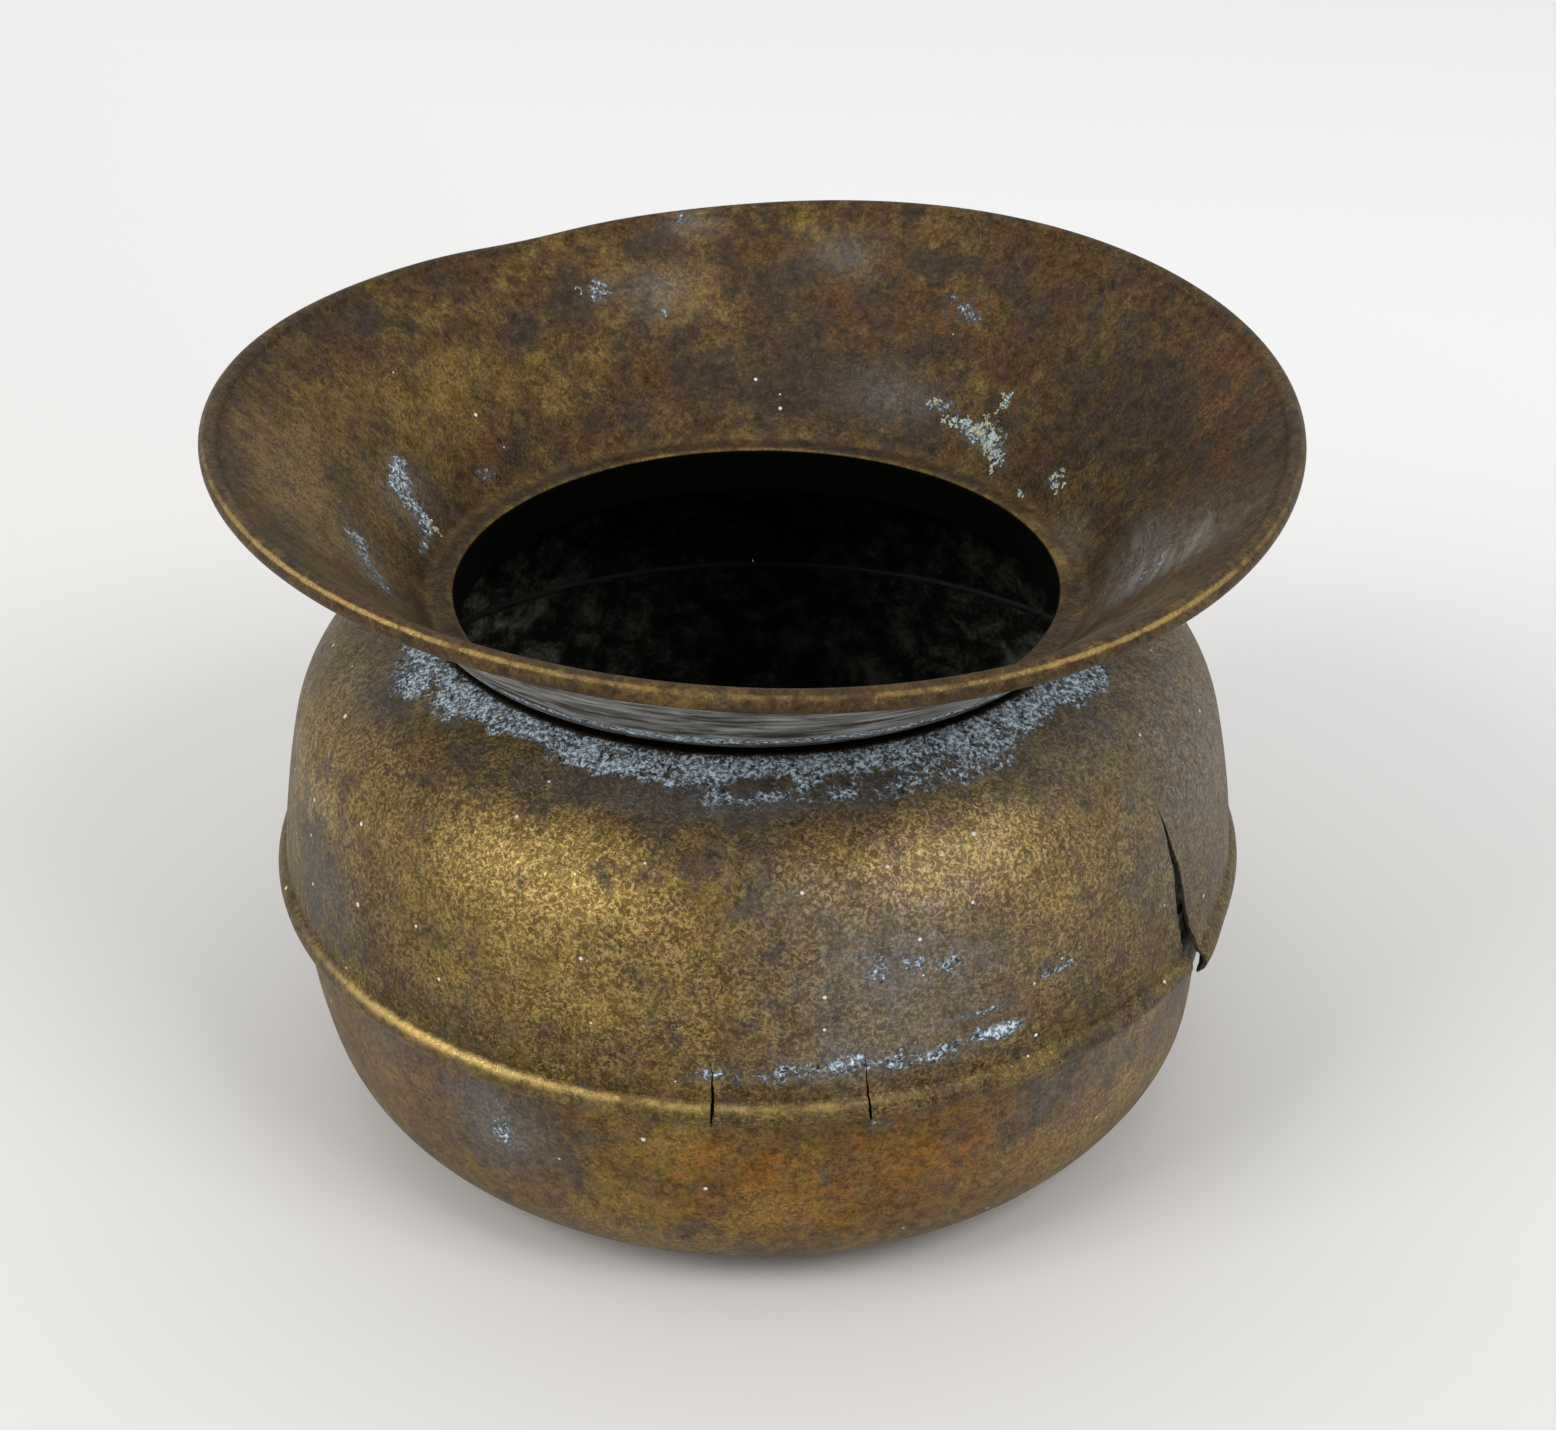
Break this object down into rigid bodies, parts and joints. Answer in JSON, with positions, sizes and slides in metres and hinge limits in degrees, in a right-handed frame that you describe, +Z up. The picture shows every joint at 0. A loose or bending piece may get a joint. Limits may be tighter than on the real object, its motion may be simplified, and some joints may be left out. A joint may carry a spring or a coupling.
{
  "type": "spittoon",
  "caption": "Round-bellied spun brass spittoon with a beaded waist, a wide flared mouth with a wired rim, and a flat base to stand on.",
  "frame": {"origin": "centre of the flat base, on the surface that it stands on", "axes": "+Z up along the axis of the bowl, -Y towards the side that the picture shows"},
  "size_m": [0.1943, 0.1942, 0.1437],
  "materials": {
    "bowl_brass": "aged, brown and orange patina, satin",
    "shoulder_brass": "aged, olive gold patina with blue-grey verdigris, satin",
    "funnel_brass": "aged, mottled olive and red-brown patina with verdigris spots, satin",
    "rim_wire": "dull annealed iron wire, hidden in the curl",
    "solder": "dull grey soft solder"
  },
  "bodies": {
    "root": {"bowl": "bowl_brass", "shoulder": "shoulder_brass", "funnel": "funnel_brass", "rim_wire": "rim_wire", "neck_solder": "solder", "waist_solder": "solder"}
  },
  "joints": []
}
